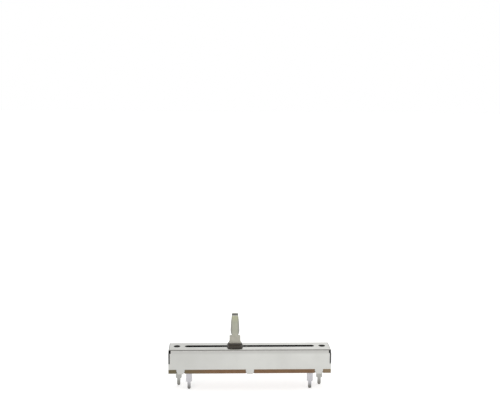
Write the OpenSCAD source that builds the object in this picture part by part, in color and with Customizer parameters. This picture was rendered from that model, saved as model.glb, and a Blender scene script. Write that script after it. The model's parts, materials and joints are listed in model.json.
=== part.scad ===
// Slide potentiometer with a 45 mm travel, in a folded steel case on four solder terminals.
// X runs along the slot, Y from the front to the rear, Z up. The origin lies under the middle
// of the case, at the level of the terminals' tips. All lengths are in millimetres.

/* [Travel] */
// Room at each end of the travel, from the slider to the outside of the case
end_room = 2.5; // [2.3:0.1:10]
// Place of the lever along the travel, from the middle
lever_x = -5.5; // [-14:0.5:14]
// Gap left between the slider and a stop pad at the end of the travel
stop_gap = 0.2; // [0.1:0.05:0.3]

/* [Case] */
// Length of the case along the slot
case_l = 60; // [60:0.5:80]
// Depth of the case from front to rear
case_w = 9; // [9:0.1:12]
// Height of the case above the board
case_h = 7.5; // [7.2:0.1:9]
// Thickness of the folded sheet
sheet_t = 0.4; // [0.3:0.05:0.5]
// Inside radius of the sheet's bends
bend_r = 0.2; // [0.1:0.05:0.3]
// Open seam between a wall and an end flap
seam_gap = 0.12; // [0.08:0.01:0.2]
// Height of the ear that closes each lower corner
ear_h = 2.1; // [1:0.1:3]
// Length of the bend relief in each upper corner
relief_l = 0.85; // [0.7:0.05:1.1]
// Height of the bend relief in each upper corner
relief_h = 1.05; // [0.6:0.05:1.3]
// Depth of the bend relief into each end flap
relief_w = 0.6; // [0.3:0.05:0.9]
// Sheet left over the bend relief
relief_drop = 0.3; // [0.2:0.05:0.5]
// Width of the lever's slot
slot_w = 2.2; // [1.7:0.1:2.4]
// Gap between the lever's stem and the end of the slot at the end of the travel
slot_end_gap = 0.2; // [0.05:0.05:0.4]

/* [Panel screw holes] */
// Distance of a tapped hole from the end of the case
screw_inset = 3; // [2.5:0.1:3.5]
// Radius of the tapped hole
screw_r = 1.25; // [1:0.05:1.4]
// Wall of the collar drawn down round each tapped hole
screw_wall = 0.65; // [0.4:0.05:0.7]
// Depth of that collar below the sheet
screw_collar_h = 0.6; // [0.3:0.05:0.6]

/* [Clinch tabs] */
// Distance of an outer tab from the end of the case
tab_inset = 4.45; // [4:0.05:10]
// Width of a tab where it leaves the wall
tab_w = 3; // [2.6:0.1:3.6]
// Width of a tab's bent foot
tab_foot_w = 2.1; // [1.6:0.1:2.2]
// Straight part of a tab's foot between its bend and its round end
tab_foot_run = 0.05; // [0.05:0.05:0.3]
// Gap round a tab in its notch
notch_gap = 0.1; // [0.05:0.05:0.2]

/* [Board] */
// Thickness of the board
board_t = 1.5; // [1.2:0.1:2]
// Thickness of the printed tracks
track_t = 0.05; // [0.03:0.01:0.08]
// Width of each printed track
track_w = 1.2; // [1.1:0.05:1.25]
// Distance of each track's middle from the slot's middle
track_y = 0.9; // [0.85:0.05:0.95]
// Length of the travel's end that lies on a silver pad
end_zone = 1.1; // [0.8:0.1:2]

/* [Terminals] */
// Length of a terminal below the board
pin_l = 6.7; // [5:0.1:9]
// Length of a terminal's wide part below the board
pin_shoulder_l = 3.9; // [2.5:0.1:4.2]
// Width of a terminal's wide part
pin_w = 2.2; // [1.8:0.1:2.6]
// Height over which a terminal narrows
pin_taper_h = 0.3; // [0.1:0.1:0.8]
// Width of a terminal's tip
pin_tip_w = 1.2; // [0.8:0.1:1.5]
// Thickness of a terminal
pin_t = 0.5; // [0.4:0.05:0.6]
// Width of a terminal's neck through the board
pin_neck_w = 1.4; // [1:0.1:1.6]
// Thickness of the riveted head over the board
pin_head_t = 0.3; // [0.2:0.05:0.4]
// Overhang of the riveted head on each side of the neck
pin_head_lip = 0.15; // [0.1:0.05:0.2]
// Distance of a front terminal from the end of the case
pin_front_inset = 7.5; // [7:0.1:9]
// Distance of a rear terminal from the end of the case
pin_rear_inset = 3.5; // [3:0.1:4.5]
// Distance of both rows from the slot's middle
pin_y = 2; // [1.95:0.05:2.3]
// Gap round a terminal's neck in its slot
slot_play = 0.05; // [0.02:0.01:0.1]
// Margin of a printed land round a terminal's head
land_margin = 0.25; // [0.1:0.05:0.3]

/* [Guide] */
// Diameter of the guide rods
rod_d = 1.5; // [1.2:0.1:1.6]
// Bevel of a rod's ends
rod_bevel = 0.15; // [0.05:0.05:0.3]
// Depth of the rods' middle below the top of the slider
rod_drop = 2.3; // [2.1:0.1:2.5]
// Running gap round a rod in the slider
rod_fit = 0.05; // [0.02:0.01:0.08]
// Wall between a rod's end and the end flap
rod_end_wall = 0.35; // [0.2:0.05:0.5]
// Thickness of a stop pad
pad_t = 0.6; // [0.4:0.1:0.8]
// Gap between a stop pad and each rod
pad_rod_gap = 0.2; // [0.1:0.05:0.4]
// Distance of a stop pad's edges from the slider's top and underside
pad_inset = 0.4; // [0.3:0.05:0.8]
// Radius of a stop pad's upper corners
pad_r = 0.4; // [0.2:0.05:0.6]
// Gap between an end block and the case
block_gap = 0.05; // [0.02:0.01:0.1]

/* [Slider] */
// Length of the slider
slider_l = 10; // [8:0.5:10]
// Gap between the slider's roof and each side wall
slider_side_gap = 0.35; // [0.2:0.05:0.5]
// Depth of the slider's roof below the top of the case
slider_drop = 1.2; // [1.15:0.05:1.4]
// Height of the slider
slider_h = 4.1; // [3.9:0.1:4.4]
// Thickness of the slider's roof
roof_t = 0.6; // [0.5:0.1:0.9]
// Wall of a sleeve round its guide rod
sleeve_wall = 0.45; // [0.35:0.05:0.5]
// Gap between the slider's spine and the wall over each sleeve
spine_gap = 0.425; // [0.3:0.025:0.6]
// Floor of the slider under the lever's stem
stem_floor = 1; // [0.6:0.1:1.5]
// Length of the bumper on each end of the slider
bumper_l = 0.3; // [0.1:0.1:0.6]
// Setback of that bumper from the spine's sides
bumper_setback = 0.25; // [0.1:0.05:0.4]
// Radius of its upper corners
bumper_r = 0.4; // [0.2:0.05:0.6]

/* [Wiper] */
// Thickness of the wiper's spring sheet
wiper_t = 0.15; // [0.1:0.01:0.2]
// Number of fingers on each track
finger_count = 3; // [2:1:4]
// Gap between two fingers
finger_gap = 0.1; // [0.08:0.01:0.15]
// Gap left between the fingers and the track
contact_gap = 0.03; // [0.02:0.01:0.05]
// Radius of a finger's contact bend
contact_r = 0.5; // [0.3:0.05:0.6]
// Length of a finger from its root to its contact
finger_l = 3.6; // [3:0.1:3.8]
// Margin of the wiper's plate past the fingers and the tracks
plate_margin = 0.3; // [0.2:0.05:0.4]
// Distance of each peg from the middle of the slider
peg_x = 2.1; // [1.5:0.1:3]
// Height of a peg's head under the wiper
peg_head_h = 0.2; // [0.1:0.05:0.3]
// Overhang of that head round its peg
peg_head_lip = 0.08; // [0.04:0.02:0.1]

/* [Lever] */
// Height of the lever above the case
lever_h = 12.6; // [10:0.1:20]
// Thickness of the lever
lever_t = 1.2; // [1:0.1:1.3]
// Width of the stem through the slot
stem_w = 2.4; // [1.8:0.1:3]
// Width at the tip
tip_w = 2.15; // [1.8:0.05:2.4]
// Widest part of the grip end
grip_w = 3.25; // [2.8:0.05:3.5]
// Width of the neck under the grip end
neck_w = 2.1; // [1.8:0.05:2.4]
// Width of the shoulder
shoulder_w = 4; // [3.6:0.1:4.2]
// Width of the flared root
flare_w = 4.65; // [4.4:0.05:5]
// Height of the shoulder's top above the case
shoulder_h = 4.1; // [3.5:0.05:5]
// Height above the case where the flare starts
flare_h = 2.3; // [2:0.1:2.8]
// Height over which the flare widens
flare_run = 1; // [0.4:0.1:1.2]
// Height of the neck over the shoulder
neck_h = 0.1; // [0.05:0.05:0.4]
// Height from the neck to the widest part of the grip end
bulge_h = 1.9; // [1.3:0.05:2.1]
// Setback of the bulge's edge halfway up to the widest part
bulge_round = 0.12; // [0.05:0.01:0.2]
// Swell of each edge halfway between the widest part and the tip
belly = 0.12; // [0:0.01:0.2]
// Setback of each edge along the tip's bevel
tip_taper = 0.1; // [0:0.02:0.2]
// Height of the bevel at the tip
tip_bevel_h = 0.7; // [0.4:0.1:1]
// Depth of the bevel on each face of the tip
tip_bevel_d = 0.35; // [0.2:0.05:0.4]

/* [Lever collar] */
// Gap between the collar and the case
collar_gap = 0.1; // [0.1:0.05:0.3]
// Length of the collar along the slot
collar_l = 5.9; // [5.7:0.1:6.6]
// Depth of the collar from front to rear
collar_w = 6.2; // [5.6:0.1:7.4]
// Height of the collar's flat top above the case
collar_h = 0.8; // [0.7:0.05:1.1]
// Height of the boss round the lever above the case
boss_h = 1.25; // [1.15:0.05:1.5]
// Height of the collar's upright rim
rim_t = 0.2; // [0.1:0.05:0.3]
// Length of the rim's front edge
rim_front_l = 5; // [4.6:0.1:5.4]
// Depth of the flat on each end of the collar
side_flat_w = 2; // [1:0.1:3]
// Run of the slope from the rim in to the flat top at each end
slope_l = 0.35; // [0.3:0.05:0.6]
// Run of that slope in front and behind
slope_w = 0.5; // [0.3:0.05:0.9]
// Length of the flat top's front edge
top_front_l = 4.5; // [4:0.1:4.8]
// Height of the pocket's floor above the case
pocket_h = 0.5; // [0.4:0.05:0.6]
// Wall of the boss in front of the lever and behind it
boss_wall = 0.35; // [0.2:0.05:0.5]
// Wall of the boss at each end of the lever
boss_end_wall = 0.2; // [0.04:0.02:0.25]
// Run of the boss's sloped front and rear
boss_slope = 0.2; // [0.1:0.05:0.4]

/* [Hidden] */
// Smallest overlap that makes two cuts meet
eps = 0.05;
// Facets of the rounds
$fn = 48;

// Levels
board_z = pin_l;
floor_z = board_z + board_t;
track_z = floor_z + track_t;
top_z = floor_z + case_h;
under_z = top_z - sheet_t;

// Case
bend_out = bend_r + sheet_t;
inner_l = case_l - 2 * sheet_t;
inner_w = case_w - 2 * sheet_t;
travel = case_l - slider_l - 2 * end_room;
slot_round = slot_w / 2 - sqrt(pow(slot_w / 2, 2) - pow(lever_t / 2, 2));
slot_l = travel + stem_w + 2 * (slot_round + slot_end_gap);
relief_top_z = top_z - relief_drop;
screw_pitch = case_l - 2 * screw_inset;
tab_pitch = case_l / 2 - tab_inset;
tab_foot_l = sheet_t + tab_foot_run + tab_foot_w / 2;

// Slider
slider_w = inner_w - 2 * slider_side_gap;
slider_z1 = top_z - slider_drop;
slider_z0 = slider_z1 - slider_h;
rod_r = rod_d / 2;
bore_r = rod_r + rod_fit;
sleeve_r = bore_r + sleeve_wall;
rod_y = slider_w / 2 - sleeve_r;
rod_z = slider_z1 - rod_drop;
spine_w = 2 * (rod_y - sleeve_r / 2 - spine_gap);
bumper_w = spine_w - 2 * bumper_setback;

// End blocks and stop pads
slider_reach = travel / 2 + slider_l / 2;
pad_x = slider_reach + stop_gap;
block_x = pad_x + pad_t;
block_l = inner_l / 2 - block_gap - block_x;
block_w = inner_w - 2 * block_gap;
block_top_z = under_z - screw_collar_h - block_gap;
rod_l = inner_l - 2 * rod_end_wall;

// Lever and collar
lever_bottom_z = slider_z0 + stem_floor;
pocket_z = top_z + pocket_h;

// Wiper
wiper_z1 = slider_z0;
wiper_z0 = wiper_z1 - wiper_t;
finger_w = (track_w - finger_gap * finger_count) / finger_count;
plate_l = 2 * (finger_l + plate_margin);
plate_w = 2 * (track_y + plate_margin) + track_w;
peg_head_r = track_y - track_w / 2;
peg_r = peg_head_r - peg_head_lip;

// Terminals
head_l = pin_neck_w + 2 * pin_head_lip;
head_w = pin_t + 2 * pin_head_lip;
pin_front_pitch = case_l - 2 * pin_front_inset;
pin_rear_pitch = case_l - 2 * pin_rear_inset;
land_l = head_l + 2 * land_margin;
track_end_x = min(travel / 2 - end_zone, (pin_front_pitch - land_l) / 2);

// Extrudes a drawing of Y and Z along X, about X = 0
module along_x(l) rotate([90, 0, 90]) linear_extrude(l, center = true) children();

// Extrudes a drawing of X and Z along Y, about Y = 0
module along_y(l) rotate([90, 0, 0]) linear_extrude(l, center = true) children();

// Copies a piece to both ends
module both_ends() for (i = [0, 1]) mirror([i, 0, 0]) children();

// Copies a piece to the four corners
module four_corners() for (i = [0, 1], j = [0, 1]) mirror([i, 0, 0]) mirror([0, j, 0]) children();

// A rectangle that stands on the line y = 0 with its two upper corners rounded
module arch(w, h, r) {
    translate([-w / 2, 0]) square([w, h - r]);
    translate([r - w / 2, 0]) square([w - 2 * r, h]);
    for (s = [-1, 1]) translate([s * (w / 2 - r), h - r]) circle(r);
}

// A block whose four upper edges are rounded, as a box folded from sheet
module folded_block(l, w, h, r) intersection() {
    along_x(l) arch(w, h, r);
    along_y(w) arch(l, h, r);
}

// A bar with round ends
module stadium(l, w) {
    square([l - w, w], center = true);
    for (s = [-1, 1]) translate([s * (l - w) / 2, 0]) circle(w / 2);
}

// Open seam and bend relief of the corner at the right rear
module corner_seam() {
    flap_x = inner_l / 2;
    wall_y = inner_w / 2;
    ear_z = floor_z + ear_h;
    // Upright slit beside the flap's edge
    translate([flap_x - seam_gap, wall_y - eps, ear_z])
        cube([seam_gap, sheet_t + 2 * eps, relief_top_z - ear_z]);
    // Level slit over the ear
    translate([flap_x - seam_gap, wall_y - seam_gap, ear_z])
        cube([sheet_t + seam_gap + eps, sheet_t + seam_gap + eps, seam_gap]);
    // Upright slit behind the ear
    translate([flap_x - eps, wall_y - seam_gap, floor_z - eps])
        cube([sheet_t + 2 * eps, seam_gap, ear_h + seam_gap + eps]);
    // Bend relief
    translate([case_l / 2 - relief_l, wall_y - relief_w, relief_top_z - relief_h])
        cube([relief_l + eps, sheet_t + relief_w + eps, relief_h]);
}

// One clinch tab of the front wall, bent in under the board
module clinch_tab() {
    foot_z = board_z - sheet_t;
    outer_y = -case_w / 2;
    translate([0, outer_y + sheet_t / 2, 0]) along_y(sheet_t) polygon([
        [-tab_w / 2, floor_z + eps], [-tab_w / 2, floor_z - board_t / 2],
        [-tab_foot_w / 2, board_z], [-tab_foot_w / 2, foot_z + sheet_t / 2],
        [tab_foot_w / 2, foot_z + sheet_t / 2], [tab_foot_w / 2, board_z],
        [tab_w / 2, floor_z - board_t / 2], [tab_w / 2, floor_z + eps]]);
    along_x(tab_foot_w) {
        translate([outer_y + sheet_t, foot_z + sheet_t]) intersection() {
            circle(sheet_t);
            translate([-sheet_t, -sheet_t]) square(sheet_t);
        }
        translate([outer_y + sheet_t, foot_z]) square([tab_foot_l - sheet_t - tab_foot_w / 2, sheet_t]);
    }
    translate([0, outer_y + tab_foot_l - tab_foot_w / 2, foot_z]) linear_extrude(sheet_t)
        intersection() {
            circle(tab_foot_w / 2);
            translate([-tab_foot_w / 2, -eps / 2]) square([tab_foot_w, tab_foot_w]);
        }
}

module case() color([0.82, 0.82, 0.80]) {
    difference() {
        union() {
            difference() {
                translate([0, 0, floor_z]) folded_block(case_l, case_w, case_h, bend_out);
                translate([0, 0, floor_z - eps])
                    folded_block(inner_l, inner_w, case_h - sheet_t + eps, bend_r);
            }
            both_ends() translate([screw_pitch / 2, 0, under_z - screw_collar_h])
                cylinder(r = screw_r + screw_wall, h = screw_collar_h + eps);
        }
        four_corners() corner_seam();
        translate([0, 0, under_z - eps]) linear_extrude(sheet_t + 2 * eps) stadium(slot_l, slot_w);
        both_ends() translate([screw_pitch / 2, 0, under_z - screw_collar_h - eps])
            cylinder(r = screw_r, h = screw_collar_h + sheet_t + 2 * eps);
    }
    for (x = [-tab_pitch, 0, tab_pitch], turn = [0, 180])
        rotate([0, 0, turn]) translate([x, 0, 0]) clinch_tab();
}

module base_board() color([0.48, 0.36, 0.27]) difference() {
    translate([-case_l / 2, -case_w / 2, board_z]) cube([case_l, case_w, board_t]);
    for (x = [-tab_pitch, 0, tab_pitch], s = [-1, 1])
        translate([x, s * case_w / 2, board_z + board_t / 2])
            cube([tab_w + 2 * notch_gap, 2 * (sheet_t + notch_gap), 2 * board_t], center = true);
    for (p = terminal_places())
        translate([p.x, p.y, board_z + board_t / 2])
            cube([pin_neck_w + 2 * slot_play, pin_t + 2 * slot_play, 2 * board_t], center = true);
}

// Middles of the four terminals
function terminal_places() = [
    for (s = [-1, 1]) [s * pin_front_pitch / 2, -pin_y],
    for (s = [-1, 1]) [s * pin_rear_pitch / 2, pin_y]];

// Printed land round one terminal's neck, joined to the track beside it: side is -1 in front
// of the slot's middle and 1 behind it
module land(p, side) {
    far_y = abs(p.y) + head_w / 2 + land_margin;
    near_y = track_y - track_w / 2;
    difference() {
        translate([p.x - land_l / 2, side > 0 ? near_y : -far_y]) square([land_l, far_y - near_y]);
        translate([p.x, p.y])
            square([pin_neck_w + 2 * slot_play, pin_t + 2 * slot_play], center = true);
    }
}

module resistive_track() color([0.10, 0.10, 0.11]) translate([0, -track_y, floor_z])
    linear_extrude(track_t) square([2 * track_end_x, track_w], center = true);

module collector_track() color([0.62, 0.62, 0.60]) translate([0, 0, floor_z])
    linear_extrude(track_t) {
        translate([0, track_y]) square([pin_rear_pitch, track_w], center = true);
        for (s = [-1, 1]) land([s * pin_rear_pitch / 2, pin_y], 1);
    }

// Silver end pad of the resistive track, on the left for s = -1 and on the right for s = 1
module track_pad(s) color([0.78, 0.78, 0.76]) translate([0, 0, floor_z])
    linear_extrude(track_t) {
        land([s * pin_front_pitch / 2, -pin_y], -1);
        end_x = (pin_front_pitch + land_l) / 2;
        translate([s > 0 ? track_end_x : -end_x, -track_y - track_w / 2])
            square([end_x - track_end_x, track_w]);
    }
module track_pad_left() track_pad(-1);
module track_pad_right() track_pad(1);

// Stamped terminal at the origin of its row: blade, neck through the board and riveted head
module terminal(p) color([0.80, 0.80, 0.80]) {
    shoulder_z = board_z - pin_shoulder_l;
    translate([p.x, p.y, 0]) along_y(pin_t) {
        polygon([
            [-pin_w / 2, board_z], [-pin_w / 2, shoulder_z + pin_taper_h / 2],
            [-pin_tip_w / 2, shoulder_z - pin_taper_h / 2], [-pin_tip_w / 2, pin_tip_w / 2],
            [pin_tip_w / 2, pin_tip_w / 2], [pin_tip_w / 2, shoulder_z - pin_taper_h / 2],
            [pin_w / 2, shoulder_z + pin_taper_h / 2], [pin_w / 2, board_z]]);
        translate([0, pin_tip_w / 2]) circle(pin_tip_w / 2);
        translate([-pin_neck_w / 2, board_z - eps])
            square([pin_neck_w, board_t + track_t + 2 * eps]);
    }
    translate([p.x, p.y, track_z]) linear_extrude(pin_head_t) square([head_l, head_w], center = true);
}
module terminal_1() terminal([-pin_front_pitch / 2, -pin_y]);
module terminal_3() terminal([pin_front_pitch / 2, -pin_y]);
module terminal_2_left() terminal([-pin_rear_pitch / 2, pin_y]);
module terminal_2_right() terminal([pin_rear_pitch / 2, pin_y]);

// Ground rod with bevelled ends
module guide_rod(y) color([0.72, 0.72, 0.74]) translate([0, y, rod_z]) rotate([0, 90, 0])
    rotate_extrude() polygon([
        [0, -rod_l / 2], [rod_r - rod_bevel, -rod_l / 2], [rod_r, rod_bevel - rod_l / 2],
        [rod_r, rod_l / 2 - rod_bevel], [rod_r - rod_bevel, rod_l / 2], [0, rod_l / 2]]);
module guide_rod_front() guide_rod(-rod_y);
module guide_rod_rear() guide_rod(rod_y);

// Moulded block between the board, the walls and the end flap, with a blind seat for each rod,
// at the right for i = 0 and mirrored to the left for i = 1
module end_block(i) color([0.12, 0.12, 0.13]) mirror([i, 0, 0]) difference() {
    translate([block_x + block_l / 2, 0, floor_z])
        along_x(block_l) arch(block_w, block_top_z - floor_z, bend_r);
    for (y = [-rod_y, rod_y]) translate([block_x - eps, y, rod_z]) rotate([0, 90, 0])
        cylinder(r = rod_r, h = rod_l / 2 - block_x + eps);
}
module end_block_left() end_block(1);
module end_block_right() end_block(0);

// Rubber pad between the rods, glued to the end block
module stop_pad(s) color([0.20, 0.20, 0.20]) {
    pad_w = 2 * (rod_y - rod_r - pad_rod_gap);
    translate([s * (pad_x + pad_t / 2), 0, slider_z0 + pad_inset])
        along_x(pad_t) arch(pad_w, slider_h - 2 * pad_inset, pad_r);
}
module stop_pad_left() stop_pad(-1);
module stop_pad_right() stop_pad(1);

// Moulded carriage: roof under the slot, spine that holds the lever, a closed sleeve on the
// front rod and an open one on the rear rod, and two staked pegs for the wiper
module slider() color([0.88, 0.87, 0.83]) translate([lever_x, 0, 0]) difference() {
    union() {
        along_x(slider_l - 2 * bumper_l) {
            translate([-slider_w / 2, slider_z1 - roof_t]) square([slider_w, roof_t]);
            translate([-spine_w / 2, slider_z0]) square([spine_w, slider_z1 - slider_z0]);
            for (s = [-1, 1]) {
                translate([s * rod_y, rod_z]) circle(sleeve_r);
                translate([s * rod_y - sleeve_r / 2, rod_z]) square([sleeve_r, slider_z1 - rod_z]);
            }
            translate([-rod_y, rod_z - sleeve_r / 2]) square([2 * rod_y, sleeve_r]);
        }
        translate([0, 0, rod_z - sleeve_r / 2])
            along_x(slider_l) arch(bumper_w, slider_z1 - roof_t - rod_z + sleeve_r / 2, bumper_r);
        for (s = [-1, 1]) translate([s * peg_x, 0, wiper_z0 - peg_head_h]) {
            cylinder(r = peg_r, h = peg_head_h + wiper_t + eps);
            cylinder(r1 = peg_r, r2 = peg_head_r, h = peg_head_h);
        }
    }
    for (y = [-rod_y, rod_y]) translate([0, y, rod_z]) rotate([0, 90, 0])
        cylinder(r = bore_r, h = slider_l + 2 * eps, center = true);
    translate([-slider_l / 2 - eps, rod_y, rod_z - bore_r])
        cube([slider_l + 2 * eps, sleeve_r + eps, 2 * bore_r]);
    translate([0, 0, (lever_bottom_z + slider_z1 + eps) / 2])
        cube([stem_w, lever_t, slider_z1 + eps - lever_bottom_z], center = true);
}

// Centre line of one finger, seen from the front: root, straight arm, contact bend, raised end
function finger_line() =
    let (root_x = finger_l, root_z = wiper_z0 + wiper_t / 2,
        low_z = track_z + contact_gap + wiper_t / 2,
        mid_z = low_z + contact_r,
        arm = atan2(root_z - mid_z, root_x),
        dist = norm([root_x, root_z - mid_z]),
        lean = arm - asin(contact_r / dist))
    concat([[root_x, root_z]],
        [for (a = [lean - 90 : -15 : -150]) [contact_r * cos(a), mid_z + contact_r * sin(a)]]);

// Band of a thickness along a line of points
function normal_at(pts, i) =
    let (a = pts[max(i - 1, 0)], b = pts[min(i + 1, len(pts) - 1)], d = b - a) [-d.y, d.x] / norm(d);
function band(pts, t) = concat(
    [for (i = [0 : len(pts) - 1]) pts[i] + normal_at(pts, i) * t / 2],
    [for (i = [len(pts) - 1 : -1 : 0]) pts[i] - normal_at(pts, i) * t / 2]);

// Spring plate staked under the slider, with its fingers on both tracks
module wiper() color([0.78, 0.58, 0.30]) translate([lever_x, 0, 0]) {
    difference() {
        translate([0, 0, wiper_z0]) linear_extrude(wiper_t)
            square([plate_l, plate_w], center = true);
        for (s = [-1, 1]) translate([s * peg_x, 0, wiper_z0 - eps])
            cylinder(r = peg_r, h = wiper_t + 2 * eps);
    }
    for (s = [-1, 1], i = [0 : finger_count - 1])
        translate([0, s * track_y + (i - (finger_count - 1) / 2) * (finger_w + finger_gap), 0])
            along_y(finger_w) polygon(band(finger_line(), wiper_t));
}

// Right half of the blade's outline above the collar's pocket, from the root to the tip
function lever_side() = let (neck_z = shoulder_h + neck_h, bulge_z = neck_z + bulge_h) [
    [flare_w / 2, pocket_h], [flare_w / 2, flare_h - flare_run], [shoulder_w / 2, flare_h],
    [shoulder_w / 2, shoulder_h], [neck_w / 2, shoulder_h],
    [neck_w / 2, neck_z], [grip_w / 2 - bulge_round, neck_z + bulge_h / 2],
    [grip_w / 2, bulge_z], [(grip_w + tip_w) / 4 + belly, (bulge_z + lever_h) / 2],
    [tip_w / 2 + tip_taper, lever_h - tip_bevel_h], [tip_w / 2, lever_h]];

module lever() color([0.68, 0.68, 0.61]) translate([lever_x, 0, 0]) difference() {
    union() {
        translate([0, 0, top_z]) along_y(lever_t) polygon(concat(lever_side(),
            [for (i = [len(lever_side()) - 1 : -1 : 0]) [-lever_side()[i].x, lever_side()[i].y]]));
        translate([-stem_w / 2, -lever_t / 2, lever_bottom_z])
            cube([stem_w, lever_t, pocket_z + eps - lever_bottom_z]);
    }
    for (turn = [0, 180]) rotate([0, 0, turn])
        translate([0, -lever_t / 2, top_z + lever_h - tip_bevel_h]) along_x(flare_w)
            polygon([[-eps, -eps * tip_bevel_h / tip_bevel_d], [tip_bevel_d, tip_bevel_h],
                [tip_bevel_d, tip_bevel_h + eps], [-eps, tip_bevel_h + eps]]);
}

// Eight-sided plan with pointed ends: the whole length, the length at the front, and the depth
module collar_plan(l, end_l, w) polygon([
    [-l / 2, -side_flat_w / 2], [-end_l / 2, -w / 2], [end_l / 2, -w / 2], [l / 2, -side_flat_w / 2],
    [l / 2, side_flat_w / 2], [end_l / 2, w / 2], [-end_l / 2, w / 2], [-l / 2, side_flat_w / 2]]);

// Dust collar moulded round the lever's root
module lever_collar() color([0.23, 0.21, 0.18]) translate([lever_x, 0, top_z]) difference() {
    boss_l = flare_w + 2 * boss_end_wall;
    boss_w = lever_t + 2 * boss_wall;
    union() {
        hull() {
            translate([0, 0, collar_gap]) linear_extrude(rim_t)
                collar_plan(collar_l, rim_front_l, collar_w);
            translate([0, 0, collar_h - eps]) linear_extrude(eps)
                collar_plan(collar_l - 2 * slope_l, top_front_l, collar_w - 2 * slope_w);
        }
        translate([0, 0, collar_h - eps]) hull() {
            linear_extrude(eps) square([boss_l, boss_w + 2 * boss_slope], center = true);
            linear_extrude(boss_h - collar_h + eps) square([boss_l, boss_w], center = true);
        }
    }
    translate([0, 0, pocket_h + boss_h / 2]) cube([flare_w, lever_t, boss_h], center = true);
    cube([stem_w, lever_t, 2 * boss_h], center = true);
}

case();
base_board();
resistive_track();
collector_track();
track_pad_left();
track_pad_right();
terminal_1();
terminal_3();
terminal_2_left();
terminal_2_right();
guide_rod_front();
guide_rod_rear();
end_block_left();
end_block_right();
stop_pad_left();
stop_pad_right();
slider();
wiper();
lever();
lever_collar();
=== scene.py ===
"""Looks of a 45 mm slide potentiometer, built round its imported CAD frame.

The frame holds every piece at its real size. This script dresses the pieces: it gives each a
procedural finish, replaces the ones that show most with copies whose edges are rounded, adds
the thread of the two tapped holes, and sets up the camera, the floor and the studio light.
All lengths are in metres, in the frame's own axes: X along the slot, Y to the rear, Z up.
"""

from __future__ import annotations

import json
import logging
import math
from dataclasses import dataclass, field
from enum import Enum
from typing import Any, Sequence

import bmesh
import bpy
from mathutils import Matrix, Vector

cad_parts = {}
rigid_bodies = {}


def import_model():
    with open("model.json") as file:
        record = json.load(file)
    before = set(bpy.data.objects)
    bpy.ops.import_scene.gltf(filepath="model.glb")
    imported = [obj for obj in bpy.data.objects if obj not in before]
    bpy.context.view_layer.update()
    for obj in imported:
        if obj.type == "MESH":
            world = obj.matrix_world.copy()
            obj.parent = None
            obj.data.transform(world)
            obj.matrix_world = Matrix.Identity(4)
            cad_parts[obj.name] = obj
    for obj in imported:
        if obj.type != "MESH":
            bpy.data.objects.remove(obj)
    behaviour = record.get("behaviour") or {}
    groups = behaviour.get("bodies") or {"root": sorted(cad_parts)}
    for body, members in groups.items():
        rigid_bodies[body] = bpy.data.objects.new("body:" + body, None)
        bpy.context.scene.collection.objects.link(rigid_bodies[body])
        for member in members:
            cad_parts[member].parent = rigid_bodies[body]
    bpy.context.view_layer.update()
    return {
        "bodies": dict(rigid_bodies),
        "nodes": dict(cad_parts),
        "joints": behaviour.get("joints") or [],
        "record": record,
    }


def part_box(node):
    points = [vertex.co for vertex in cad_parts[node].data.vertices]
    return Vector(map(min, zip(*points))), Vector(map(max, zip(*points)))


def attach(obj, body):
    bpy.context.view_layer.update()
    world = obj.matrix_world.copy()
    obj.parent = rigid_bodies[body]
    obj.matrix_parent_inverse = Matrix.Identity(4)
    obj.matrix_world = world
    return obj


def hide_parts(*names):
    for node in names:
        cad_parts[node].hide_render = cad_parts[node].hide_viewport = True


Color = tuple[float, float, float]
Span = tuple[float, float]

LOG = logging.getLogger("slide_potentiometer")
MM = 0.001
WHITE: Color = (1.0, 1.0, 1.0)
GREY = (0.5, 0.5, 0.5, 1.0)

# A face looks along an axis when its normal has more than this share of that axis.
FACING = 0.9

# A face is upright when the upward share of its normal is less than this.
UPRIGHT = 0.5

# Height of the bump from rolled lines and printed ink.
FINE_BUMP = 0.004 * MM


class Body(Enum):
    """The two bodies that the pieces ride on."""

    FRAME = "frame"
    SLIDER = "slider"


class Socket(Enum):
    """The kinds of socket that the node groups have."""

    NUMBER = "NodeSocketFloat"
    VECTOR = "NodeSocketVector"
    COLOR = "NodeSocketColor"
    GEOMETRY = "NodeSocketGeometry"


class Mixed(Enum):
    """What a Mix node mixes: its data type, then the numbers of its two inputs and its output."""

    NUMBERS = ("FLOAT", 2, 3, 0)
    COLORS = ("RGBA", 6, 7, 2)


def srgb(red: int, green: int, blue: int) -> Color:
    """Turns a colour of 8-bit display values into scene-linear values.

    Args:
        red: Red, from 0 to 255.
        green: Green, from 0 to 255.
        blue: Blue, from 0 to 255.

    Returns:
        The linear colour.
    """

    def linear(value: int) -> float:
        """Undoes the display curve for one channel."""
        part = value / 255
        return part / 12.92 if part <= 0.04045 else ((part + 0.055) / 1.055) ** 2.4

    return linear(red), linear(green), linear(blue)


def settle(piece: bpy.types.Object) -> None:
    """Turns a piece's modifiers into plain mesh.

    Args:
        piece: The piece.
    """
    graph = bpy.context.evaluated_depsgraph_get()
    mesh = bpy.data.meshes.new_from_object(
        piece.evaluated_get(graph), preserve_all_data_layers=True, depsgraph=graph)
    piece.modifiers.clear()
    piece.data = mesh


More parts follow.
